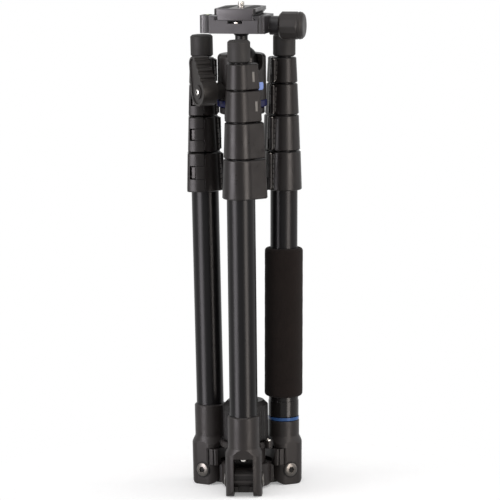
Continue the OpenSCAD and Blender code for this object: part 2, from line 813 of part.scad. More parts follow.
// The twist collar that grips the column.
module column_lock() {
    color([0.2, 0.2, 0.2]) translate([0, 0, hub_top_z + clear]) difference() {
        rotate_extrude() polygon([
            [0, 0], [twist_r - hub_edge, 0], [twist_r, hub_edge],
            [twist_r, twist_h - twist_edge], [twist_r - twist_edge, twist_h], [0, twist_h]
        ]);
        translate([0, 0, -over]) cylinder(r = neck_r + clear, h = neck_h + clear + over);
        cylinder(r = column_r + clear, h = twist_h + over);
        for (k = [0 : twist_grooves - 1]) rotate([0, 0, k * 360 / twist_grooves])
            translate([twist_r + twist_groove_r / 2, 0, twist_edge])
                cylinder(r = twist_groove_r, h = twist_h - 3 * twist_edge);
    }
}

/* Ball head */

module pan_base() {
    color([0.2, 0.2, 0.2]) translate([0, 0, column_top_z]) difference() {
        union() {
            drum(base_r, base_r, base_h, pan_edge);
            cylinder(r = spindle_r, h = spindle_l);
        }
        translate([0, 0, -over]) cylinder(r = head_stud_r, h = head_stud_l + over);
    }
}

module pan_ring() {
    color([0.16, 0.22, 0.5]) translate([0, 0, pan_z]) difference() {
        drum(pan_r, pan_r, pan_h, pan_edge);
        translate([0, 0, -over]) cylinder(r = spindle_r + clear, h = pan_h + 2 * over);
    }
}

// The head's body: a cup around the ball, with a drop notch and the boss of the ball-lock knob.
module head_body() {
    color([0.22, 0.21, 0.21]) translate([0, 0, body_z]) difference() {
        union() {
            cylinder(r = body_r, h = body_h - rim_r);
            cylinder(r = body_r - rim_r, h = body_h);
            translate([0, 0, body_h - rim_r])
                rotate_extrude() translate([body_r - rim_r, 0]) circle(rim_r);
            rotate([0, 0, lock_yaw]) translate([0, 0, lock_up]) rotate([0, 90, 0])
                cylinder(r = lock_boss_r, h = lock_knob_face - lock_knob_t - clear);
        }
        translate([0, 0, ball_up]) sphere(ball_r + clear);
        translate([0, 0, -over])
            cylinder(r = spindle_r + run, h = spindle_l + base_h - pan_h + over);
        rotate([0, 0, lock_yaw]) translate([0, 0, lock_up]) rotate([0, 90, 0])
            translate([0, 0, lock_knob_face - lock_knob_t - lock_shaft_l - clear])
                cylinder(r = lock_shaft_r + run, h = big);
        rotate([0, 0, drop_yaw]) translate([0, 0, body_h - drop_deep + drop_w / 2]) {
            rotate([0, 90, 0]) cylinder(d = drop_w, h = big);
            translate([0, -drop_w / 2, 0]) cube([big, drop_w, body_h]);
        }
    }
}

// The ball with the neck and cone that carry the clamp.
module ball() {
    color([0.32, 0.31, 0.31]) translate([0, 0, ball_z]) {
        sphere(ball_r);
        cylinder(r = ball_neck_r, h = clamp_up);
        translate([0, 0, clamp_up - ball_cone_h])
            cylinder(r1 = ball_neck_r, r2 = ball_cone_r, h = ball_cone_h);
    }
}

// The paddle's outline: a round hub and a smaller tip joined by their common tangents.
module paddle(r_hub, r_tip) {
    swing = asin((r_hub - r_tip) / paddle_l);
    rotate(paddle_lean) {
        circle(r_hub);
        translate([0, paddle_l]) circle(r_tip);
        polygon([
            [r_hub * cos(swing), r_hub * sin(swing)],
            [r_tip * cos(swing), paddle_l + r_tip * sin(swing)],
            [-r_tip * cos(swing), paddle_l + r_tip * sin(swing)],
            [-r_hub * cos(swing), r_hub * sin(swing)]
        ]);
    }
}

module ball_lock_knob() {
    color([0.24, 0.23, 0.23]) rotate([0, 0, lock_yaw])
        translate([lock_knob_face, 0, body_z + lock_up]) rotate([90, 0, 90]) {
            difference() {
                translate([0, 0, -lock_knob_t]) linear_extrude(lock_knob_t)
                    paddle(lock_knob_r, paddle_tip_r);
                translate([0, 0, -knob_hollow]) linear_extrude(lock_knob_t)
                    paddle(lock_knob_r - knob_rim, paddle_tip_r - knob_rim);
                // Finger scallops along the edge that the thumb pushes
                rotate(paddle_lean) for (s = scallop_shares)
                    translate([
                        lock_knob_r + s * (paddle_tip_r - lock_knob_r) + scallop_r / 2,
                        s * paddle_l,
                        -lock_knob_t - over
                    ]) cylinder(r = scallop_r, h = lock_knob_t + 2 * over);
            }
            translate([0, 0, -knob_hollow]) ring(lock_knob_r / 2, hex_d / 2, knob_hollow);
            translate([0, 0, -lock_knob_t - lock_shaft_l])
                cylinder(r = lock_shaft_r, h = lock_shaft_l + clear);
        }
}

/* Quick-release clamp */

// The clamp's plan from its fixed jaw to a given distance, without the corner beside the leg.
module clamp_plan(from, to) {
    end = clamp_l / 2;
    cut = (slider_x - to) * trim_l / trim_w;
    polygon([
        [from, -end], [to, -end],
        [to, end - trim_l + min(cut, trim_l)],
        [max(from, slider_x - trim_w), end], [from, end]
    ]);
}

// A jaw's profile, from its dovetail to its outer face, for the side towards -X.
module jaw_side(foot, width) {
    polygon([
        [0, foot], [0, flange_t],
        [jaw_h - flange_t, jaw_h], [-width, jaw_h], [-width, foot]
    ]);
}

module clamp_base() {
    end = clamp_l / 2;
    color([0.38, 0.37, 0.38]) on_clamp() difference() {
        union() {
            linear_extrude(clamp_h) clamp_plan(-clamp_left, clamp_right);
            translate([-jaw_x, 0, clamp_h]) rotate([90, 0, 0])
                linear_extrude(clamp_l, center = true) jaw_side(-over, jaw_w);
            // Boss of the spirit level
            translate([-clamp_left - boss_reach, boss_off - end, 0])
                linear_extrude(clamp_h + jaw_h) {
                    translate([boss_round, 0]) square([boss_reach, boss_l]);
                    translate([0, boss_round]) square([boss_reach, boss_l - 2 * boss_round]);
                    for (y = [boss_round, boss_l - boss_round])
                        translate([boss_round, y]) circle(boss_round);
                }
        }
        translate([-channel_w / 2, -clamp_l, clamp_h - channel_deep])
            cube([channel_w, 2 * clamp_l, clamp_h]);
        translate([-clamp_left - boss_reach + level_r + boss_round / 2,
            boss_off - end + boss_l / 2, clamp_h + jaw_h - level_h])
            cylinder(r = level_r, h = level_h + over);
        translate([clamp_right - screw_l, 0, screw_z]) rotate([0, 90, 0])
            cylinder(r = screw_r + clear, h = big);
    }
    color([0.7, 0.7, 0.7]) on_clamp(clamp_h - channel_deep)
        cylinder(r = guard_r, h = channel_deep);
}

module clamp_jaw() {
    color([0.38, 0.37, 0.38]) on_clamp() difference() {
        union() {
            intersection() {
                linear_extrude(clamp_h + jaw_h) clamp_plan(0, slider_x);
                union() {
                    translate([clamp_right + clear, -clamp_l, 0])
                        cube([slider_w, 2 * clamp_l, clamp_h + jaw_h]);
                    translate([jaw_x, 0, clamp_h]) mirror([1, 0, 0]) rotate([90, 0, 0])
                        linear_extrude(clamp_l, center = true)
                            jaw_side(clear / 3, slider_x - jaw_x);
                }
            }
            translate([slider_x - over, 0, screw_z]) rotate([0, 90, 0])
                cylinder(r = collar_r, h = collar_l + over);
        }
        translate([0, 0, screw_z]) rotate([0, 90, 0]) cylinder(r = screw_r + run, h = big);
        // Upright grooves along the outer face and at the front corner
        for (s = [1, 3]) translate([clamp_right + clear + s * slider_w / 4, -clamp_l / 2, -over])
            cylinder(r = guard_r, h = clamp_h + 2 * jaw_h);
    }
}

module clamp_knob() {
    e = clamp_knob_edge;
    l = clamp_knob_l;
    r = clamp_knob_r;
    color([0.26, 0.25, 0.25]) on_clamp(screw_z) rotate([0, 90, 0]) {
        translate([0, 0, collar_end + clear]) difference() {
            intersection() {
                rotate_extrude() polygon([
                    [0, 0], [r - e, 0], [r, e], [r, l - clamp_cap_l - e / 2],
                    [r - e / 4, l - clamp_cap_l], [r, l - clamp_cap_l + e / 2],
                    [r - e / 4, l - e], [r - e, l - e / 4], [r - 2 * e, l], [0, l]
                ]);
                union() {
                    cylinder(r = r + clear / 2, h = l - clamp_cap_l, $fn = clamp_knob_flats);
                    translate([0, 0, l - clamp_cap_l]) cylinder(r = 2 * r, h = clamp_cap_l);
                }
            }
            for (k = [0 : clamp_cap_notches - 1]) rotate([0, 0, k * 360 / clamp_cap_notches])
                translate([r + e / 4, 0, l - clamp_cap_l + e]) cylinder(r = e / 2, h = l);
        }
        translate([0, 0, clamp_right + clear - screw_l])
            cylinder(r = screw_r, h = collar_end - clamp_right + screw_l + e);
    }
}

module bubble_level() {
    end = clamp_l / 2;
    color([0.75, 0.8, 0.35]) on_clamp(clamp_h + jaw_h - level_h)
        translate([-clamp_left - boss_reach + level_r + boss_round / 2,
            boss_off - end + boss_l / 2, 0])
            cylinder(r = level_r, h = level_h);
}

/* Camera plate */

// The plate's plan with cut corners: small ones in front, a large one beside the folded leg.
module plate_plan() {
    w = plate_w / 2;
    l = plate_l / 2;
    cut = (slider_x - w) * trim_l / trim_w;
    polygon([
        [plate_cut - w, -l], [w - plate_cut, -l], [w, plate_cut - l],
        [w, clamp_l / 2 - trim_l + cut], [slider_x - trim_w, clamp_l / 2],
        [slider_x - trim_w, l], [trim_w - slider_x, l], [trim_w - slider_x, clamp_l / 2],
        [-w, clamp_l / 2 - trim_l + cut], [-w, plate_cut - l]
    ]);
}

// Half of the plate's dovetail profile.
module plate_profile() {
    w = plate_w / 2;
    g = groove_deep;
    top = plate_h - deck_t;
    polygon([
        [-w, 0], [w, 0], [w, flange_t], [w - g, flange_t + g], [w - g, top - g],
        [w, top], [w, plate_h], [-w, plate_h], [-w, top],
        [g - w, top - g], [g - w, flange_t + g], [-w, flange_t]
    ]);
}

module camera_plate() {
    color([0.42, 0.41, 0.42]) on_clamp(clamp_h) difference() {
        intersection() {
            linear_extrude(plate_h) plate_plan();
            rotate([90, 0, 0]) linear_extrude(plate_l, center = true) plate_profile();
        }
        translate([0, 0, -over]) cylinder(r = stud_neck_r + run, h = plate_h + 2 * over);
        translate([0, 0, -over])
            cylinder(r = stud_head_r + clear, h = stud_head_h + 2 * clear + over);
        translate([0, 0, plate_h - stud_relief])
            cylinder(r = stud_r + clear, h = stud_relief + over);
    }
}

module camera_screw() {
    color([0.75, 0.74, 0.72]) on_clamp(clamp_h) difference() {
        union() {
            translate([0, 0, clear]) cylinder(r = stud_head_r, h = stud_head_h);
            translate([0, 0, clear]) cylinder(r = stud_neck_r, h = plate_h + clear);
            translate([0, 0, plate_h + clear]) cylinder(r = stud_r, h = stud_up - clear);
        }
        translate([-stud_head_r, -stud_slot / 2, 0])
            cube([2 * stud_head_r, stud_slot, stud_slot + clear]);
    }
}

/* Pieces of the legs */

casting = [0.27, 0.26, 0.26];
anodised = [0.08, 0.08, 0.09];
lock_black = [0.2, 0.2, 0.2];
rubber_grey = [0.25, 0.24, 0.24];

// A tube whose lock is permanently bonded to it.
module section(i) {
    color(anodised) tube(i);
    color(lock_black) lock_collar(i, socket = false);
}

module front_yoke() {
    color(casting) on_leg(0) yoke(0);
}

module front_angle_stop() {
    color(casting) on_leg(0) angle_stop();
}

module front_tube_1() {
    color(anodised) on_leg(0) tube(0);
}

module front_lock_1() {
    color(lock_black) on_leg(0) lock_collar(0);
}

module front_lever_1() {
    color(lock_black) on_leg(0) lever(0);
}

module front_tube_2() {
    color(anodised) on_leg(0) tube(1);
}

module front_lock_2() {
    color(lock_black) on_leg(0) lock_collar(1);
}

module front_lever_2() {
    color(lock_black) on_leg(0) lever(1);
}

module front_section_3() {
    on_leg(0) section(2);
}

module front_lever_3() {
    color(lock_black) on_leg(0) lever(2);
}

module front_section_4() {
    on_leg(0) section(3);
}

module front_lever_4() {
    color(lock_black) on_leg(0) lever(3);
}

module front_tube_5() {
    color(anodised) on_leg(0) tube(4);
}

module front_foot() {
    color(rubber_grey) on_leg(0) foot();
}

module right_yoke() {
    color(casting) on_leg(1) yoke(1);
}

module right_angle_stop() {
    color(casting) on_leg(1) angle_stop();
}

module right_tube_1() {
    color(anodised) on_leg(1) tube(0);
}

module right_lock_1() {
    color(lock_black) on_leg(1) lock_collar(0);
}

module right_lever_1() {
    color(lock_black) on_leg(1) lever(0);
}

module right_tube_2() {
    color(anodised) on_leg(1) tube(1);
}

module right_lock_2() {
    color(lock_black) on_leg(1) lock_collar(1);
}

module right_lever_2() {
    color(lock_black) on_leg(1) lever(1);
}

module right_section_3() {
    on_leg(1) section(2);
}

module right_lever_3() {
    color(lock_black) on_leg(1) lever(2);
}

module right_section_4() {
    on_leg(1) section(3);
}

module right_lever_4() {
    color(lock_black) on_leg(1) lever(3);
}

module right_tube_5() {
    color(anodised) on_leg(1) tube(4);
}

module right_foot() {
    color(rubber_grey) on_leg(1) foot();
}

module left_yoke() {
    color(casting) on_leg(2) yoke(2);
}

module left_angle_stop() {
    color(casting) on_leg(2) angle_stop();
}

module left_tube_1() {
    color(anodised) on_leg(2) tube(0);
}

module left_lock_1() {
    color(lock_black) on_leg(2) lock_collar(0);
}

module left_lever_1() {
    color(lock_black) on_leg(2) lever(0);
}

module left_tube_2() {
    color(anodised) on_leg(2) tube(1);
}

module left_lock_2() {
    color(lock_black) on_leg(2) lock_collar(1);
}

module left_lever_2() {
    color(lock_black) on_leg(2) lever(1);
}

module left_section_3() {
    on_leg(2) section(2);
}

module left_lever_3() {
    color(lock_black) on_leg(2) lever(2);
}

module left_section_4() {
    on_leg(2) section(3);
}

module left_lever_4() {
    color(lock_black) on_leg(2) lever(3);
}

module left_tube_5() {
    color(anodised) on_leg(2) tube(4);
}

module left_foot() {
    color(rubber_grey) on_leg(2) foot();
}

hub();
pivot_bolts();
column();
column_lock();
pan_base();
pan_ring();
head_body();
ball();
ball_lock_knob();
clamp_base();
clamp_jaw();
clamp_knob();
bubble_level();
camera_plate();
camera_screw();
grip_foam();
grip_collar();
grip_ring();
front_yoke();
front_angle_stop();
front_tube_1();
front_lock_1();
front_lever_1();
front_tube_2();
front_lock_2();
front_lever_2();
front_section_3();
front_lever_3();
front_section_4();
front_lever_4();
front_tube_5();
front_foot();
right_yoke();
right_angle_stop();
right_tube_1();
right_lock_1();
right_lever_1();
right_tube_2();
right_lock_2();
right_lever_2();
right_section_3();
right_lever_3();
right_section_4();
right_lever_4();
right_tube_5();
right_foot();
left_yoke();
left_angle_stop();
left_tube_1();
left_lock_1();
left_lever_1();
left_tube_2();
left_lock_2();
left_lever_2();
left_section_3();
left_lever_3();
left_section_4();
left_lever_4();
left_tube_5();
left_foot();
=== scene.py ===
import math

import bmesh
import bpy
from mathutils import Matrix, Vector


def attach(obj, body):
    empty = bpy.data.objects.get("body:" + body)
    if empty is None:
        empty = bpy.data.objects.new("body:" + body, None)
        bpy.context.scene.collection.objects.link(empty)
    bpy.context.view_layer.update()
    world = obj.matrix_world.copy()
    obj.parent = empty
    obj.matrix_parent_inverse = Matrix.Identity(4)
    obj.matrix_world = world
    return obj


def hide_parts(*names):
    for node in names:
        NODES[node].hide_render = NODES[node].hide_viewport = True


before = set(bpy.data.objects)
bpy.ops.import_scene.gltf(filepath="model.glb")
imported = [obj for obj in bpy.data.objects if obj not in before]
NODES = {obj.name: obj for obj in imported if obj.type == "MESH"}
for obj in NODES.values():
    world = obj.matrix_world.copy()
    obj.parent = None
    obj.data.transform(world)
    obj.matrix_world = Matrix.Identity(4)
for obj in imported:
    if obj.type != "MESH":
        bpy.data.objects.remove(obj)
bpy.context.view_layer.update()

MM = 0.001
scene = bpy.context.scene

# Places as the CAD has them, in millimetres and degrees
LEGS = {"front": -90.0, "right": 30.0, "left": 150.0}
PIVOT_R = 37.5
PIVOT_Z = 14.0
SPLAY = 0.75
LEG_OFF = 1.0
SLOT_TOP = 22.0
STRAP_YAW = -30.0
GRIP_Z = 67.2
GRIP_L = 138.3
GRIP_R = 17.6
CLAMP_YAW = -10.7
CLAMP_Z = 420.0
CLAMP_H = 12.0
PLATE_H = 10.5
BODY_Z = 359.0
KNOB_YAW = 211.0
KNOB_UP = 8.4
KNOB_FACE = 45.6

# The four locks of a folded leg from the lowest up: height, radii at both ends, reach of the boss
LOCK_H = (35.5, 32.0, 28.0, 23.0)
LOCK_LOW = (16.5, 14.8, 13.5, 12.2)
LOCK_TOP = (15.3, 13.6, 12.3, 11.1)
LOCK_REACH = (23.7, 22.2, 19.4, 17.7)
LOCK_GAP = 1.0
LOCK_Z = [259.5]
for height in LOCK_H[:3]:
    LOCK_Z.append(LOCK_Z[-1] + height + LOCK_GAP)

# Angles around a lock: flat flank, end of the tongue, lever's edge, hinge, and the lock's own edge
FLANK_YAW = 34.0
TONGUE_YAW = 97.6
LEVER_EDGE_YAW = 178.0
HINGE_YAW = 193.0
LOCK_EDGE_YAW = 204.0
# The lever's middle knuckle and its tongue, as shares of the lock's height
BAND = (0.34, 0.67)


def turn(angle, axis):
    return Matrix.Rotation(math.radians(angle), 4, axis)


def shift(x, y, z):
    return Matrix.Translation(Vector((x, y, z)) * MM)


def leg_place(leg):
    """The frame of a leg: its tubes run along +Z."""
    return turn(LEGS[leg], "Z") @ shift(PIVOT_R, 0, PIVOT_Z) @ turn(SPLAY, "Y") @ shift(LEG_OFF, 0, 0)


CLAMP_PLACE = turn(CLAMP_YAW, "Z") @ shift(0, 0, CLAMP_Z)
CLAMP_TOP = CLAMP_PLACE @ shift(0, 0, CLAMP_H)
KNOB_PLACE = (
    turn(KNOB_YAW, "Z") @ shift(KNOB_FACE, 0, BODY_Z + KNOB_UP) @ turn(90, "Z") @ turn(90, "X")
)
# In these two a slab's outline runs down and along a face, and its height points out of the face
UPRIGHT = turn(90, "Y")
FRONT_FACE = turn(-90, "Z") @ UPRIGHT


# Materials. The noise scales are in cells per metre, all other sizes in metres
CLOUDS = 38.0
ROUGH_CLOUDS = 90.0
RUBS = 420.0
DRAWN_LINES = 1500.0
GRAIN = 2600.0
ALONG_Z = (1, 1, 0.012)
EDGE = 0.0004


def shade(colour, factor):
    return tuple(min(1.0, c * factor) for c in colour)


class Tree:
    """A small writer of material nodes."""

    def __init__(self, name):
        self.mat = bpy.data.materials.new(name)
        self.mat.use_nodes = True
        self.nodes = self.mat.node_tree.nodes
        self.links = self.mat.node_tree.links
        self.bsdf = self.nodes["Principled BSDF"]
        self.place = self.add("ShaderNodeTexCoord").outputs["Object"]

    def add(self, kind, **settings):
        node = self.nodes.new(kind)
        for key, value in settings.items():
            setattr(node, key, value)
        return node

    def link(self, a, b):
        self.links.new(a, b)

    def feed(self, socket, value):
        """Sets a number on a socket, or links an output to it."""
        if isinstance(value, (int, float)):
            socket.default_value = value
        else:
            self.link(value, socket)

    def noise(self, scale, detail=3.0, rough=0.5, stretch=(1, 1, 1)):
        mapping = self.add("ShaderNodeMapping")
        mapping.inputs["Scale"].default_value = stretch
        self.link(self.place, mapping.inputs["Vector"])
        node = self.add("ShaderNodeTexNoise")
        node.inputs["Scale"].default_value = scale
        node.inputs["Detail"].default_value = detail
        node.inputs["Roughness"].default_value = rough
        self.link(mapping.outputs["Vector"], node.inputs["Vector"])
        return node.outputs["Fac"]

    def spread(self, value, low, high, start=0.3, end=0.7):
        """Maps start..end, by default the middle of a noise, to low..high."""
        node = self.add("ShaderNodeMapRange")
        node.inputs["From Min"].default_value = start
        node.inputs["From Max"].default_value = end
        node.inputs["To Min"].default_value = low
        node.inputs["To Max"].default_value = high
        self.link(value, node.inputs["Value"])
        return node.outputs["Result"]

    def math(self, operation, a, b):
        node = self.add("ShaderNodeMath", operation=operation)
        self.feed(node.inputs[0], a)
        self.feed(node.inputs[1], b)
        return node.outputs[0]

    def mix(self, factor, a, b):
        node = self.add("ShaderNodeMix", data_type="RGBA")
        self.feed(node.inputs["Factor"], factor)
        for socket, value in ((node.inputs[6], a), (node.inputs[7], b)):
            if isinstance(value, tuple):
                socket.default_value = value + (1.0,)
            else:
                self.link(value, socket)
        return node.outputs[2]

    def clouded(self, value, colour, low, high):
        """The colour between two shades of itself, led by a noise."""
        return self.mix(self.spread(value, 0.0, 1.0), shade(colour, low), shade(colour, high))

    def bump(self, height, depth, normal=None):
        node = self.add("ShaderNodeBump")
        node.inputs["Strength"].default_value = 1.0
        node.inputs["Distance"].default_value = depth
        self.link(height, node.inputs["Height"])
        if normal is not None:
            self.link(normal, node.inputs["Normal"])
        return node.outputs["Normal"]

    def softened(self, radius):
        """The normal of a surface whose edges are slightly rounded."""
        bevel = self.add("ShaderNodeBevel", samples=6)
        bevel.inputs["Radius"].default_value = radius
        return bevel.outputs["Normal"]

    def rubbed(self, tone, bright, wear, edge=EDGE):
        """The tone with its edges rubbed bright in places, and the softened normal."""
        normal = self.softened(edge)
        dot = self.add("ShaderNodeVectorMath", operation="DOT_PRODUCT")
        self.link(normal, dot.inputs[0])
        self.link(self.add("ShaderNodeNewGeometry").outputs["Normal"], dot.inputs[1])
        mask = self.spread(dot.outputs["Value"], 1.0, 0.0, 0.86, 0.99)
        patchy = self.math("MULTIPLY", mask, self.spread(self.noise(RUBS, 3.0, 0.65), 0.1, wear))
        return self.mix(patchy, tone, bright), normal

    def painted_cleft_shade(self, tone, reach=0.004, depth=0.3):
        """The tone with painted shade: darker where the surface lies in a cleft."""
        cleft_shade_ao = self.add("ShaderNodeAmbientOcclusion", samples=6)
        cleft_shade_ao.inputs["Distance"].default_value = reach
        scale = self.add("ShaderNodeVectorMath", operation="SCALE")
        self.link(tone, scale.inputs[0])
        self.link(self.spread(cleft_shade_ao.outputs["AO"], depth, 1.0, 0.25, 0.85), scale.inputs["Scale"])
        return scale.outputs[0]

    def base(self, value):
        self.link(value, self.bsdf.inputs["Base Color"])

    def rough(self, value):
        self.link(value, self.bsdf.inputs["Roughness"])

    def relief(self, height, depth, normal=None):
        self.link(self.bump(height, depth, normal), self.bsdf.inputs["Normal"])

    def set(self, **values):
        for key, value in values.items():
            self.bsdf.inputs[key.replace("_", " ")].default_value = value


def coated(name, colour, rough=0.45, depth=0.00002, wear=0.35, edge=EDGE, coat=0.0, spec=0.16):
    """A coated or moulded surface: fine grain, cloudy tone, rubbed edges, and painted shade in clefts."""
    t = Tree(name)
    grain = t.noise(GRAIN, 2.0)
    tone = t.clouded(t.noise(CLOUDS, 4.0, 0.6), colour, 0.88, 1.1)
    tone = t.mix(t.spread(grain, 0.0, 0.5), tone, shade(colour, 1.25))
    tone, normal = t.rubbed(tone, shade(colour, 2.6), wear, edge)
    # Painted shade: the tone is darkened in clefts.
    t.base(t.painted_cleft_shade(tone))
    t.rough(t.spread(t.noise(ROUGH_CLOUDS, 4.0, 0.6), rough - 0.06, rough + 0.07))
    t.relief(grain, depth, normal)
    t.set(Specular_IOR_Level=spec, Coat_Weight=coat, Coat_Roughness=0.25)
    return t.mat


def anodised(name, colour, rough=0.31):
    """A drawn tube with a dark anodised skin: fine lines along it."""
    t = Tree(name)
    lines = t.noise(DRAWN_LINES, 3.0, 0.6, ALONG_Z)
    tone = t.clouded(t.noise(26.0, 3.0, 0.55), colour, 0.85, 1.15)
    t.base(t.mix(t.spread(lines, 0.0, 0.45), tone, shade(colour, 1.4)))
    t.rough(t.spread(lines, rough - 0.03, rough + 0.06))
    t.relief(lines, 0.000004)
    t.set(Specular_IOR_Level=0.14)
    return t.mat


def section(name, split):
    """A drawn tube below the split height, and above it the satin lock bonded on."""
    t = Tree(name)
    height = t.add("ShaderNodeSeparateXYZ")
    t.link(t.place, height.inputs[0])
    lock = t.math("GREATER_THAN", height.outputs["Z"], split)
    lines = t.noise(DRAWN_LINES, 3.0, 0.6, ALONG_Z)
    cloud = t.noise(CLOUDS, 4.0, 0.6)
    skin = t.mix(t.spread(lines, 0.0, 0.6), shade(TUBE, 0.9), shade(TUBE, 1.35))
    shell, normal = t.rubbed(t.clouded(cloud, LOCK, 0.88, 1.1), shade(LOCK, 2.4), 0.35)
    # Painted shade: the tone is darkened in clefts.
    t.base(t.painted_cleft_shade(t.mix(lock, skin, shell)))
    t.rough(t.math("ADD", t.math("MULTIPLY", lock, 0.05), t.spread(cloud, 0.29, 0.34)))
    t.relief(t.noise(GRAIN, 2.0), 0.000012, normal)
    t.set(Specular_IOR_Level=0.15)
    return t.mat


def turned(name, colour, rough=0.22):
    """Turned metal with fine scratches."""
    t = Tree(name)
    fine = t.noise(3200.0, 3.0, 0.6)
    t.base(t.clouded(t.noise(300.0, 3.0, 0.6), colour, 0.82, 1.08))
    t.rough(t.spread(fine, rough - 0.06, rough + 0.1))
    t.relief(fine, 0.000006, t.softened(0.0003))
    t.set(Metallic=1.0)
    return t.mat


def foam(name, colour):
    """Closed-cell foam: fine pores, a soft sheen and a few pressed places."""
    t = Tree(name)
    pores = t.add("ShaderNodeTexVoronoi", feature="F1")
    pores.inputs["Scale"].default_value = 1500.0
    t.link(t.place, pores.inputs["Vector"])
    cell = t.spread(pores.outputs["Distance"], 0.0, 1.0, 0.1, 0.6)
    cloud = t.noise(60.0, 5.0, 0.6)
    tone = t.clouded(cloud, colour, 0.75, 1.25)
    t.base(t.mix(t.math("MULTIPLY", cell, 0.35), tone, shade(colour, 1.9)))
    t.rough(t.spread(cloud, 0.82, 0.95))
    t.relief(cell, 0.00006, t.bump(cloud, 0.0003))
    t.set(Specular_IOR_Level=0.05, Sheen_Weight=0.06, Sheen_Roughness=0.5)
    return t.mat


# Base colours, linear
CAST = (0.022, 0.0185, 0.0175)
TUBE = (0.0050, 0.0045, 0.0050)
LOCK = (0.015, 0.0125, 0.012)
RUBBER = (0.026, 0.024, 0.023)
STEEL = (0.55, 0.53, 0.50)
DARK_STEEL = (0.10, 0.093, 0.086)
PIN_STEEL = (0.30, 0.285, 0.27)
CLAMP = (0.032, 0.028, 0.031)
HEAD = (0.018, 0.0155, 0.0145)
KNOB = (0.025, 0.022, 0.0205)
TWIST = (0.010, 0.009, 0.009)
COLLAR = (0.013, 0.0115, 0.011)
BALL = (0.007, 0.0065, 0.0065)
PAD_AND_SHADE = (0.008, 0.0072, 0.007)
RIB = (0.115, 0.106, 0.100)
MARK = (0.20, 0.185, 0.17)
FOAM = (0.0130, 0.0096, 0.0085)
BLUE = (0.036, 0.100, 0.27)
NAVY = (0.008, 0.010, 0.060)
PALE_BLUE = (0.24, 0.34, 0.72)
LIQUID = (0.42, 0.62, 0.06)
BUBBLE = (0.75, 0.85, 0.45)

mat_cast = coated("cast_alloy", CAST, rough=0.40, spec=0.18)
mat_tube = anodised("black_tube", TUBE)
mat_lock = coated("lock_satin", LOCK, rough=0.32, depth=0.000012, wear=0.3)
# The split lies a little under the lock, by the number of the section
mat_section = {
    3: section("bonded_section_3", (PIVOT_Z + LOCK_Z[2] - 0.4) * MM),
    4: section("bonded_section_4", (PIVOT_Z + LOCK_Z[3] - 0.4) * MM),
}
mat_rubber = coated("foot_rubber", RUBBER, rough=0.6, depth=0.00003, wear=0.15, edge=0.0006)
mat_steel = turned("bright_steel", STEEL)
mat_bolt = turned("bolt_steel", DARK_STEEL, rough=0.30)
mat_pin = turned("pin_steel", PIN_STEEL, rough=0.36)
mat_foam = foam("foam_cells", FOAM)
mat_blue = coated("blue_anodised", BLUE, rough=0.3, depth=0.000006, wear=0.1)
mat_navy = coated("navy_anodised", NAVY, rough=0.3, depth=0.000006, wear=0.1)
mat_head = coated("head_coating", HEAD, rough=0.38)
mat_ball = coated("ball_black", BALL, rough=0.4, depth=0.000005, wear=0.1)
mat_clamp = coated("clamp_anodised", CLAMP, rough=0.35, depth=0.00001, wear=0.2, spec=0.4)
# Painted shade: a darker copy of the clamp's anodising for the jaw and the level boss's front.
mat_jaw_painted_shade = coated("jaw_anodised_painted_shade", shade(CLAMP, 0.45), rough=0.32, depth=0.00001, wear=0.35, spec=0.3)
# Painted light: a lighter copy of the clamp's anodising for the plate's front face.
mat_front_painted_light = coated(
    "plate_front_painted_light", shade(CLAMP, 1.7), rough=0.38, depth=0.00001, wear=0.2, spec=0.4
)
mat_knob = coated("knob_cover", KNOB, rough=0.38, depth=0.00002, wear=0.2)
mat_twist = coated("twist_grip", TWIST, rough=0.45, depth=0.00003, wear=0.25)
# Dark rubber for the plate's strips and the level's ring, also used as painted shade in sockets, gaps,
# groove ends and on the jaw's front.
mat_pad_and_shade = coated("pad_rubber_and_painted_shade", PAD_AND_SHADE, rough=0.6, depth=0.00004, wear=0.05)
mat_tongue = coated("tongue_satin", shade(LOCK, 2.4), rough=0.3, depth=0.000012, wear=0.3)
mat_rib = coated("hinge_rib", RIB, rough=0.35, depth=0.00001, wear=0.2)
mat_mark = coated("pale_mark", MARK, rough=0.4, depth=0.00001, wear=0.1)
mat_collar = coated("collar_gloss", COLLAR, rough=0.22, depth=0.000006, wear=0.2)
mat_patch = coated("pale_blue_insert", PALE_BLUE, rough=0.4, depth=0.000005, wear=0.05)
mat_liquid = coated("level_liquid", LIQUID, rough=0.12, depth=0.000001, wear=0.0, coat=0.8)
mat_bubble = coated("level_bubble", BUBBLE, rough=0.1, depth=0.000001, wear=0.0, coat=0.8)

LOOK = {
    "hub": mat_cast, "pivot_bolts": mat_bolt, "column": mat_tube, "column_lock": mat_twist,
    "pan_base": mat_head, "pan_ring": mat_navy, "head_body": mat_head, "ball": mat_ball,
    "ball_lock_knob": mat_knob, "clamp_base": mat_clamp, "clamp_jaw": mat_jaw_painted_shade,
    "clamp_knob": mat_knob, "camera_plate": mat_clamp, "camera_screw": mat_steel,
    "grip_foam": mat_foam, "grip_collar": mat_collar, "grip_ring": mat_blue,
}


def look_of(node):
    """The material of a CAD node; a leg's nodes are named after the leg."""
    leg, _, part = node.partition("_")
    if leg not in LEGS:
        return LOOK.get(node, mat_cast)
    if part.startswith("tube"):
        return mat_tube
    if part.startswith("section"):
        return mat_section[int(part[-1])]
    if part.startswith(("lock", "lever")):
        return mat_lock
    if part == "foot":
        return mat_rubber
    return mat_cast


for name, obj in NODES.items():
    material = look_of(name)
    if not obj.material_slots:
        obj.data.materials.append(material)
    for entry in obj.material_slots:
        entry.link = "OBJECT"
        entry.material = material


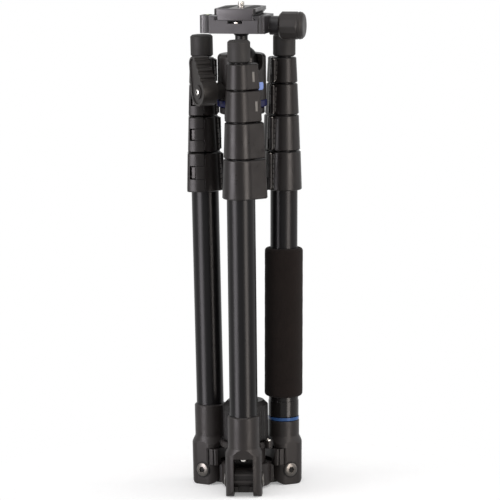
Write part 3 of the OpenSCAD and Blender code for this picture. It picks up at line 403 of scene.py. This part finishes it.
# Helpers for the pieces. Their sizes are in millimetres
def piece(name, bm, place, material, body, sharp=35.0):
    """Turns a bmesh in millimetres into a piece that rides on a body."""
    mesh = bpy.data.meshes.new(name)
    bmesh.ops.recalc_face_normals(bm, faces=bm.faces[:])
    bm.to_mesh(mesh)
    bm.free()
    mesh.transform(Matrix.Scale(MM, 4))
    mesh.transform(place)
    for face in mesh.polygons:
        face.use_smooth = True
    mesh.set_sharp_from_angle(angle=math.radians(sharp))
    obj = bpy.data.objects.new(name, mesh)
    scene.collection.objects.link(obj)
    mesh.materials.append(material)
    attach(obj, body)
    return obj


def polar(radius, angle, z):
    return (radius * math.cos(angle), radius * math.sin(angle), z)


def full_turn(n):
    return [2 * math.pi * k / n for k in range(n)]


def spin(profile, n=64, wave=None, bm=None):
    """A surface of revolution about +Z from a profile of (radius, height)."""
    if bm is None:
        bm = bmesh.new()
    poles = {}
    lines = []
    for angle in full_turn(n):
        line = []
        for i, (radius, z) in enumerate(profile):
            if i in poles:
                line.append(poles[i])
                continue
            reach = wave(radius, z, angle) if wave else radius
            vert = bm.verts.new(polar(reach, angle, z))
            if radius == 0:
                poles[i] = vert
            line.append(vert)
        lines.append(line)
    for k, a in enumerate(lines):
        b = lines[(k + 1) % n]
        for i in range(len(profile) - 1):
            corners = []
            for vert in (a[i], a[i + 1], b[i + 1], b[i]):
                if vert not in corners:
                    corners.append(vert)
            if len(corners) > 2:
                bm.faces.new(corners)
    return bm


def disc(radius, low, high):
    """The profile of a plain disc."""
    return [(0, low), (radius, low), (radius, high), (0, high)]


def round_corner(cx, cz, r, start, end, steps=6):
    out = []
    for k in range(steps + 1):
        a = math.radians(start + (end - start) * k / steps)
        out.append((cx + r * math.cos(a), cz + r * math.sin(a)))
    return out


def hexagon(radius, z, n):
    """A hexagon with n points on its outline."""
    sixth = math.pi / 3
    out = []
    for angle in full_turn(n):
        reach = radius * math.cos(sixth / 2) / math.cos(angle % sixth - sixth / 2)
        out.append(polar(reach, angle, z))
    return out


def screw(name, place, body, r, h, socket, deep, material=mat_steel):
    """A button-head screw with a hexagon socket; +Z points out of the head."""
    n = 48
    side = h * 0.35
    profile = [(r, 0.0), (r, side)]
    for angle in (20, 40, 55, 66):
        a = math.radians(angle)
        profile.append((r * math.cos(a), side + (h - side) * math.sin(a)))
    top = profile[-1][1]
    rings = [[polar(radius, angle, z) for angle in full_turn(n)] for radius, z in profile]
    rings.append(hexagon(socket * 1.08, top, n))
    rings.append(hexagon(socket, top - 0.15, n))
    rings.append(hexagon(socket, top - deep, n))
    bm = bmesh.new()
    foot = bm.verts.new((0, 0, 0))
    bottom = bm.verts.new((0, 0, top - deep - 0.2))
    lines = [[bm.verts.new(point) for point in ring] for ring in rings]
    for k in range(n):
        m = (k + 1) % n
        bm.faces.new((foot, lines[0][m], lines[0][k]))
        for a, b in zip(lines, lines[1:]):
            bm.faces.new((a[k], a[m], b[m], b[k]))
        bm.faces.new((lines[-1][k], lines[-1][m], bottom))
    return piece(name, bm, place, material, body, 32.0)


def slab(name, outline, low, high, place, body, material):
    """A plate of the given outline with a chamfered top edge."""
    bm = bmesh.new()
    face = bm.faces.new([bm.verts.new((x, y, low)) for x, y in outline])
    out = bmesh.ops.extrude_face_region(bm, geom=[face])
    top = [v for v in out["geom"] if isinstance(v, bmesh.types.BMVert)]
    bmesh.ops.translate(bm, verts=top, vec=(0, 0, high - low))
    rim = [e for e in bm.edges if all(abs(v.co.z - high) < 1e-6 for v in e.verts)]
    bmesh.ops.bevel(bm, geom=rim, offset=0.25, segments=3, affect="EDGES", profile=0.5)
    return piece(name, bm, place, material, body)


def rectangle(x_low, x_high, y_low, y_high):
    return [(x_low, y_low), (x_high, y_low), (x_high, y_high), (x_low, y_high)]


def side_name(side):
    return "left" if side < 0 else "right"


# Foam sleeve: a soft, slightly uneven tube with rounded ends
GRIP_BORE = 12.6
GRIP_ROUND = 3.0
GRIP_STEPS = 46


def uneven(r, z, a):
    """The foam's outer radius; the bore stays round."""
    if r <= GRIP_BORE:
        return r
    return r - 0.05 + 0.045 * math.sin(z * 0.31 + 2 * a) + 0.03 * math.sin(z * 0.83 - 3 * a + 1.0)


shoulder = GRIP_R - GRIP_ROUND
profile = [(GRIP_BORE, 0.25), (shoulder, 0.0)]
profile += round_corner(shoulder, GRIP_ROUND, GRIP_ROUND, -80, -10)
for k in range(GRIP_STEPS + 1):
    profile.append((GRIP_R, GRIP_ROUND + (GRIP_L - 2 * GRIP_ROUND) * k / GRIP_STEPS))
profile += round_corner(shoulder, GRIP_L - GRIP_ROUND, GRIP_ROUND, 10, 80)
profile += [(shoulder, GRIP_L), (GRIP_BORE, GRIP_L - 0.25), (GRIP_BORE, 0.25)]
grip = piece("foam_sleeve", spin(profile, 96, uneven), leg_place("right") @ shift(0, 0, GRIP_Z),
             mat_foam, "right_leg", 50.0)
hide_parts("grip_foam")

# Camera screw with a 1/4 inch thread, and its head under the plate
THREAD_R = 3.16
THREAD_CORE = 2.6
PITCH = 1.27
THREAD_LOW = PLATE_H + 0.3
STUD_TOP = PLATE_H + 5.2
PER_TURN = 40
HEAD_R = 7.5

bm = bmesh.new()
rows = []
for k in range(int((STUD_TOP - 0.6 - THREAD_LOW) / PITCH * PER_TURN) + 1):
    angle = 2 * math.pi * k / PER_TURN
    z = THREAD_LOW + PITCH * k / PER_TURN
    row = []
    for r, share in ((THREAD_CORE, -0.5), (THREAD_CORE, -0.36), (THREAD_R, -0.07),
                     (THREAD_R, 0.07), (THREAD_CORE, 0.36), (THREAD_CORE, 0.5)):
        row.append(bm.verts.new(polar(r, angle, z + share * PITCH)))
    rows.append(row)
for a, b in zip(rows, rows[1:]):
    for i in range(5):
        bm.faces.new((a[i], b[i], b[i + 1], a[i + 1]))
core = [(0, THREAD_LOW - 0.6), (THREAD_CORE, THREAD_LOW - 0.6), (THREAD_CORE, STUD_TOP - 0.5),
        (THREAD_CORE - 0.6, STUD_TOP - 0.02), (0, STUD_TOP)]
spin(core, PER_TURN, bm=bm)
head = [(0, 0.9), (HEAD_R, 0.9), (HEAD_R, 2.4), (HEAD_R - 0.3, 2.7), (2.5, 2.7),
        (2.5, THREAD_LOW + 0.2), (0, THREAD_LOW + 0.2)]
spin(head, bm=bm)
stud = piece("camera_screw_threaded", bm, CLAMP_TOP, mat_steel, "camera_screw", 30.0)
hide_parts("camera_screw")

# The two halves of the head beside its coin slot
SLOT_HALF = 0.6
SLOT_STEPS = 24
bm = bmesh.new()
reach = math.acos(SLOT_HALF / HEAD_R)
for side in (-1, 1):
    points = []
    for k in range(SLOT_STEPS + 1):
        angle = math.pi / 2 - reach + 2 * reach * k / SLOT_STEPS
        points.append((HEAD_R * math.cos(angle), side * HEAD_R * math.sin(angle)))
    low_ring = [bm.verts.new((x, y, 0.3)) for x, y in points]
    high_ring = [bm.verts.new((x, y, 0.95)) for x, y in points]
    bm.faces.new(low_ring)
    bm.faces.new(high_ring)
    for k in range(len(points)):
        m = (k + 1) % len(points)
        bm.faces.new((low_ring[k], low_ring[m], high_ring[m], high_ring[k]))
piece("camera_screw_head", bm, CLAMP_TOP, mat_steel, "camera_screw", 30.0)

# Rubber strips let into the top of the plate
for side in (-1, 1):
    strip = [(7.5, -19.5), (16.2, -19.5), (16.2, 11.0), (12.0, 16.5), (7.5, 16.5)]
    outline = [(side * x, y) for x, y in strip]
    slab("plate_strip_" + side_name(side), outline, PLATE_H - 0.1, PLATE_H + 0.35, CLAMP_TOP,
         "camera_plate", mat_pad_and_shade)


def front_slab(name, outline, y, proud, body, material, up=0.0):
    """An inlay on a front face of the clamp: the outline is (x, z) in the clamp's frame."""
    points = [(-z, x) for x, z in outline]
    slab(name, points, -0.6, proud, CLAMP_PLACE @ shift(0, y, up) @ FRONT_FACE, body, material)


# Front bar of the plate, painted light in a lighter copy of the clamp's anodising; painted shade at the
# ends of its grooves and on the fronts of the jaw and boss
FRONT_Y = -24.5
GROOVE_Y = FRONT_Y + 0.6
BOSS_Y = -20.0
bar = [(-15.7, 0.4), (15.7, 0.4), (15.7, 4.5), (16.6, 4.5), (16.6, 10.1), (-16.6, 10.1),
       (-16.6, 4.5), (-15.7, 4.5)]
front_slab("plate_front_bar", bar, FRONT_Y, 0.5, "camera_plate", mat_front_painted_light, CLAMP_H)
# Painted shade: dark slabs at the ends of the plate's grooves.
for side in (-1, 1):
    near, far = sorted((side * 16.3, side * 18.9))
    front_slab("plate_groove_shade_" + side_name(side), rectangle(near, far, 4.6, 10.0), GROOVE_Y, 0.4,
               "camera_plate", mat_pad_and_shade, CLAMP_H)
# Painted shade: a dark slab on the jaw's front beside the plate.
front_slab("clamp_jaw_shade", rectangle(-19.3, -16.0, 0.6, 3.4), FRONT_Y, 0.12, "clamp", mat_pad_and_shade,
           CLAMP_H)
# Painted shade: the level boss's front in the darker copy of the clamp's anodising.
front_slab("level_boss_front_shade", rectangle(-30.2, -24.6, 0.6, 15.4), BOSS_Y, 0.12, "clamp", mat_jaw_painted_shade)

# Bright screw in the clamp's channel
screw("channel_screw", CLAMP_TOP @ shift(0, -19.5, -3.0), "clamp", 2.4, 2.3, 1.2, 0.8)

# Spirit level: liquid, ring and bubble
level_place = CLAMP_TOP @ shift(-28.1, -13.0, 4.0)
liquid = [(0, -4.6), (3.5, -4.6), (3.5, -0.4), (2.8, 0.05), (1.6, 0.28), (0, 0.35)]
ring = [(3.5, -4.8), (4.25, -4.8), (4.25, 0.15), (4.0, 0.4), (3.6, 0.25), (3.5, -0.4), (3.5, -4.8)]
bubble = [(0, 0.2), (1.1, 0.22), (1.25, 0.34), (1.0, 0.45), (0, 0.52)]
vial = piece("level_vial", spin(liquid, 48), level_place, mat_liquid, "clamp")
piece("level_ring", spin(ring, 48), level_place, mat_pad_and_shade, "clamp")
piece("level_bubble", spin(bubble, 32), level_place @ shift(0.3, 0.2, 0), mat_bubble, "clamp")
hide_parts("bubble_level")

# Plain pale-blue insert on the head, under the drop notch; its short ends are rounded off
INSERT_R = 22.05
INSERT_FROM = -46.0
INSERT_TO = -26.0
INSERT_LOW = BODY_Z + 9.0
INSERT_HIGH = BODY_Z + 16.5
INSERT_STEPS = 14
bm = bmesh.new()
mid = (INSERT_LOW + INSERT_HIGH) / 2
loops = []
for k in range(INSERT_STEPS + 1):
    share = k / INSERT_STEPS
    angle = math.radians(INSERT_FROM + (INSERT_TO - INSERT_FROM) * share)
    soft = 1.0 - max(0.0, abs(2 * share - 1) - 0.7) / 0.3 * 0.35
    half = (INSERT_HIGH - INSERT_LOW) / 2 * soft
    loop = []
    for proud, z in ((-0.8, mid - half), (0.12, mid - half + 0.3), (0.2, mid),
                     (0.12, mid + half - 0.3), (-0.8, mid + half)):
        loop.append(bm.verts.new(polar(INSERT_R + proud, angle, z)))
    loops.append(loop)
for a, b in zip(loops, loops[1:]):
    for i in range(5):
        j = (i + 1) % 5
        bm.faces.new((a[i], b[i], b[j], a[j]))
bm.faces.new(loops[0])
bm.faces.new(loops[-1])
piece("head_insert", bm, Matrix.Identity(4), mat_patch, "head", 40.0)

# Plain cap and socket screw in the ball-lock knob, with painted shade in the socket
cap = [(0, -1.2), (6.4, -1.2), (6.4, -0.25), (6.1, 0.0), (5.0, 0.05), (4.7, -0.2), (4.4, 0.08), (0, 0.16)]
piece("knob_cap", spin(cap), KNOB_PLACE, mat_head, "ball_lock_knob")
screw("knob_screw", KNOB_PLACE @ shift(0, 0, -0.1), "ball_lock_knob", 2.7, 0.9, 1.6, 0.6)
# Painted shade: a dark disc in the screw's socket.
piece("knob_screw_socket_shade", spin(disc(1.5, 0.1, 0.25), 24), KNOB_PLACE, mat_pad_and_shade, "ball_lock_knob")

# Strap screw on the hub
screw("strap_screw", turn(STRAP_YAW, "Z") @ shift(24.5, 0, 44.8), "hub", 2.4, 1.7, 1.1, 0.9)


def lean_of(i):
    """How far the side of a lock's cone leans in, in degrees."""
    return math.degrees(math.atan((LOCK_LOW[i] - LOCK_TOP[i]) / LOCK_H[i]))


def carrier(leg, i):
    """The body that carries a leg's lock."""
    return leg + "_leg" if i == 0 else "%s_section_%d" % (leg, i + 1)


# Pale inlays on the flat flanks of the front leg's two smallest locks
MARK_HALF_LONG = 4.5
MARK_HALF_WIDE = 1.2
for i, along in ((2, 10.2), (3, 8.1)):
    out = (LOCK_LOW[i] + LOCK_TOP[i]) / 2 - 0.15
    where = leg_place("front") @ turn(FLANK_YAW, "Z") @ shift(out, along, LOCK_Z[i] + LOCK_H[i] / 2)
    outline = rectangle(-MARK_HALF_LONG, MARK_HALF_LONG, -MARK_HALF_WIDE, MARK_HALF_WIDE)
    slab("front_lock_%d_mark" % (i + 1), outline, -0.5, 0.12, where @ turn(-lean_of(i), "Y") @ UPRIGHT,
         carrier("front", i), mat_mark)


def bolt_heads(leg):
    """Button heads at both ends of a pivot bolt, each with painted shade: a dark ring around the head and
    a dark disc in its socket.
    """
    bolt_face = 16.7
    shade_ring = [(5.6, -1.4), (7.5, -1.4), (7.5, 0.0), (7.3, 0.14), (5.6, 0.14), (5.6, -1.4)]
    for side, tail in ((-1, "_a"), (1, "_b")):
        place = turn(LEGS[leg], "Z") @ shift(PIVOT_R, side * bolt_face, PIVOT_Z) @ turn(-90 * side, "X")
        screw(leg + "_bolt_head" + tail, place, "hub", 6.3, 1.7, 2.8, 1.35, mat_bolt)
        # Painted shade: a dark disc in the socket and a dark ring around the head.
        piece(leg + "_bolt_socket_shade" + tail, spin(disc(2.4, 0.15, 0.35), 24), place, mat_pad_and_shade, "hub")
        piece(leg + "_bolt_shade_ring" + tail, spin(shade_ring, 48), place, mat_pad_and_shade, "hub")


def slot_stud(leg):
    """The stud at the top of the casting's slot, seen between the fork's ears."""
    place = leg_place(leg) @ shift(7.0, 0, SLOT_TOP) @ turn(180, "X")
    collar = [(0, -0.2), (5.4, -0.2), (5.4, 0.6), (4.9, 1.1), (0, 1.1)]
    screw(leg + "_slot_screw", place, leg + "_leg", 4.2, 4.4, 1.7, 1.4)
    piece(leg + "_slot_collar", spin(collar, 48), place, mat_cast, leg + "_leg")


def hinge_details(leg, i, lever):
    """Ends of the hinge pin, and painted shade in the gaps between the knuckles."""
    out = (LOCK_LOW[i] + LOCK_TOP[i]) / 2 + 0.5
    hinge = leg_place(leg) @ turn(HINGE_YAW, "Z") @ shift(out, 0, LOCK_Z[i])
    bm = bmesh.new()
    for z, way in ((1.05, -1), (LOCK_H[i] - 1.05, 1)):
        tip = [(0, z - way * 1.4), (1.16, z - way * 1.4), (1.16, z - way * 0.25), (0.9, z), (0, z)]
        spin(tip, 24, bm=bm)
    piece(lever + "_pin_ends", bm, hinge, mat_pin, lever)
    # Painted shade: dark discs in the gaps between the knuckles.
    bm = bmesh.new()
    for share in BAND:
        z = share * LOCK_H[i]
        spin(disc(2.42, z - 0.4, z + 0.4), 32, bm=bm)
    piece(lever + "_knuckle_gap_shade", bm, hinge, mat_pad_and_shade, lever)


def ribs(name, leg, i, yaw, proud, body):
    """Ribs along the hinge's edge: a row of small bars let into a conical face."""
    step = 4.6
    bm = bmesh.new()
    count = int((LOCK_H[i] - 3) / step)
    low_r = LOCK_LOW[i] + proud
    top_r = LOCK_TOP[i] + proud
    for k in range(count):
        z = LOCK_H[i] / 2 + (k - (count - 1) / 2) * step
        r = low_r + (top_r - low_r) * z / LOCK_H[i]
        made = bmesh.ops.create_cube(bm, size=1.0)["verts"]
        bmesh.ops.scale(bm, verts=made, vec=(0.8, 1.7, 3.5))
        bmesh.ops.translate(bm, verts=made, vec=(r - 0.25, 0, z))
    bmesh.ops.bevel(bm, geom=bm.edges[:], offset=0.12, segments=2, affect="EDGES", profile=0.5)
    place = leg_place(leg) @ shift(0, 0, LOCK_Z[i]) @ turn(yaw, "Z")
    piece(name, bm, place, mat_rib, body)


def tongue_end(leg, i, lever):
    """The end of the lever's tongue in the collar's recess."""
    half = (BAND[1] - BAND[0]) * LOCK_H[i] / 2 - 0.7
    wide = 1.75 * LOCK_REACH[i] / LOCK_REACH[0]
    up = LOCK_Z[i] + LOCK_H[i] * sum(BAND) / 2
    where = leg_place(leg) @ turn(TONGUE_YAW, "Z") @ shift(LOCK_REACH[i] - 0.55, 0, up)
    slab(lever + "_tongue_end", rectangle(-half, half, -wide, wide), -1.4, 0.0,
         where @ turn(-lean_of(i), "Y") @ UPRIGHT, lever, mat_tongue)


for leg in LEGS:
    bolt_heads(leg)
    slot_stud(leg)
    for i in range(len(LOCK_H)):
        lever = "%s_lever_%d" % (leg, i + 1)
        hinge_details(leg, i, lever)
        ribs("%s_lock_%d_ribs" % (leg, i + 1), leg, i, LOCK_EDGE_YAW, 0.1, carrier(leg, i))
        ribs(lever + "_ribs", leg, i, LEVER_EDGE_YAW, 2.3, lever)
        tongue_end(leg, i, lever)

# Floor. Its glow lifts it to white for the camera and in reflections, and the shadow stays
NEAR_FLOOR = 0.10
FAR_FLOOR = 0.26
bpy.ops.mesh.primitive_plane_add(size=6.0, location=(0, 0, -0.00005))
floor = bpy.context.object
floor.name = "floor"
t = Tree("floor_paint")
t.base(t.mix(t.spread(t.noise(3.0), 0.0, 1.0), (0.84, 0.84, 0.84), (0.86, 0.86, 0.86)))
t.set(Roughness=0.9, Specular_IOR_Level=0.1)
path = t.add("ShaderNodeLightPath")
seen = t.math("MAXIMUM", path.outputs["Is Camera Ray"], path.outputs["Is Glossy Ray"])
distance = t.add("ShaderNodeVectorMath", operation="LENGTH")
t.link(t.place, distance.inputs[0])
far = t.spread(distance.outputs["Value"], 0.0, 1.0, NEAR_FLOOR, FAR_FLOOR)
glow = t.add("ShaderNodeEmission")
t.link(t.math("MULTIPLY", seen, t.spread(far, 0.27, 0.3, 0.0, 1.0)), glow.inputs["Strength"])
both = t.add("ShaderNodeAddShader")
t.link(t.bsdf.outputs[0], both.inputs[0])
t.link(glow.outputs[0], both.inputs[1])
# Further out the floor gives way to the white room, so folded-down legs show at their poses
clear = t.add("ShaderNodeBsdfTransparent")
pick = t.add("ShaderNodeMixShader")
t.link(t.math("MULTIPLY", seen, far), pick.inputs[0])
t.link(both.outputs[0], pick.inputs[1])
t.link(clear.outputs[0], pick.inputs[2])
t.link(pick.outputs[0], t.nodes["Material Output"].inputs["Surface"])
floor.data.materials.append(t.mat)

# Room: plain white to the camera and in reflections and glass, dimmer as a light
world = bpy.data.worlds.new("studio")
scene.world = world
world.use_nodes = True
world_nodes = world.node_tree.nodes
world_links = world.node_tree.links
world_nodes.clear()


def white_room(strength):
    node = world_nodes.new("ShaderNodeBackground")
    node.inputs["Color"].default_value = (1.0, 1.0, 1.0, 1.0)
    node.inputs["Strength"].default_value = strength
    return node.outputs[0]


def larger(a, b):
    node = world_nodes.new("ShaderNodeMath")
    node.operation = "MAXIMUM"
    world_links.new(a, node.inputs[0])
    world_links.new(b, node.inputs[1])
    return node.outputs[0]


path = world_nodes.new("ShaderNodeLightPath")
seen = larger(path.outputs["Is Camera Ray"], path.outputs["Is Transmission Ray"])
seen = larger(seen, path.outputs["Is Glossy Ray"])
choose = world_nodes.new("ShaderNodeMixShader")
world_links.new(seen, choose.inputs[0])
world_links.new(white_room(0.55), choose.inputs[1])
world_links.new(white_room(1.0), choose.inputs[2])
surface = world_nodes.new("ShaderNodeOutputWorld")
world_links.new(choose.outputs[0], surface.inputs["Surface"])

# Camera's place: turned to the right of the front, in degrees and metres
YAW = 3.3
REACH = 2.9
HEIGHT = 0.65
CENTRE = (0, 0, 0.24)


def around(angle, distance, height):
    """A place at an angle from the camera's side of the object, positive to the right."""
    a = math.radians(angle + YAW)
    return (distance * math.sin(a), -distance * math.cos(a), height)


def lamp(name, where, size, power, colour, gloss_only=False):
    """An area lamp that looks at the centre. A gloss-only one shapes the highlights alone."""
    data = bpy.data.lights.new(name, "AREA")
    data.shape = "RECTANGLE"
    data.size, data.size_y = size
    data.energy = power
    data.color = colour
    obj = bpy.data.objects.new(name, data)
    scene.collection.objects.link(obj)
    obj.location = where
    obj.rotation_euler = (Vector(CENTRE) - Vector(where)).to_track_quat("-Z", "Y").to_euler()
    if gloss_only:
        obj.visible_diffuse = False
        obj.visible_transmission = False
        obj.visible_volume_scatter = False


lamp("highlight_left", around(-52, 1.5, 0.35), (0.80, 1.9), 62.0, (1.0, 0.955, 1.0), True)
lamp("highlight_right", around(40, 1.5, 0.35), (0.60, 1.9), 46.0, (1.0, 0.92, 0.86), True)
lamp("softbox_left", around(-70, 1.7, 0.8), (1.0, 1.4), 9.0, (1.0, 0.96, 0.98))
lamp("softbox_right", around(92, 1.7, 0.8), (0.9, 1.4), 7.0, (1.0, 0.93, 0.91))
lamp("overhead", (0.1, -0.5, 1.8), (1.6, 1.2), 10.0, (1.0, 1.0, 1.0))

# Camera: the pitch aims it at a height on the column, and the pan and roll set the frame
AIM_Z = 0.22
ROLL = -0.65
camera = bpy.data.objects.new("camera", bpy.data.cameras.new("camera"))
scene.collection.objects.link(camera)
scene.camera = camera
camera.data.sensor_width = 36.0
camera.data.lens = 230.7
camera.data.clip_start = 0.1
camera.data.clip_end = 50.0
camera.location = around(0, REACH, HEIGHT)
pitch = math.atan((HEIGHT - AIM_Z) / REACH)
pan = math.radians(YAW - 0.11)
aim = Vector((-math.sin(pan) * math.cos(pitch), math.cos(pan) * math.cos(pitch), -math.sin(pitch)))
camera.rotation_mode = "QUATERNION"
camera.rotation_quaternion = aim.to_track_quat("-Z", "Y") @ turn(ROLL, "Z").to_quaternion()

scene.view_settings.view_transform = "Standard"
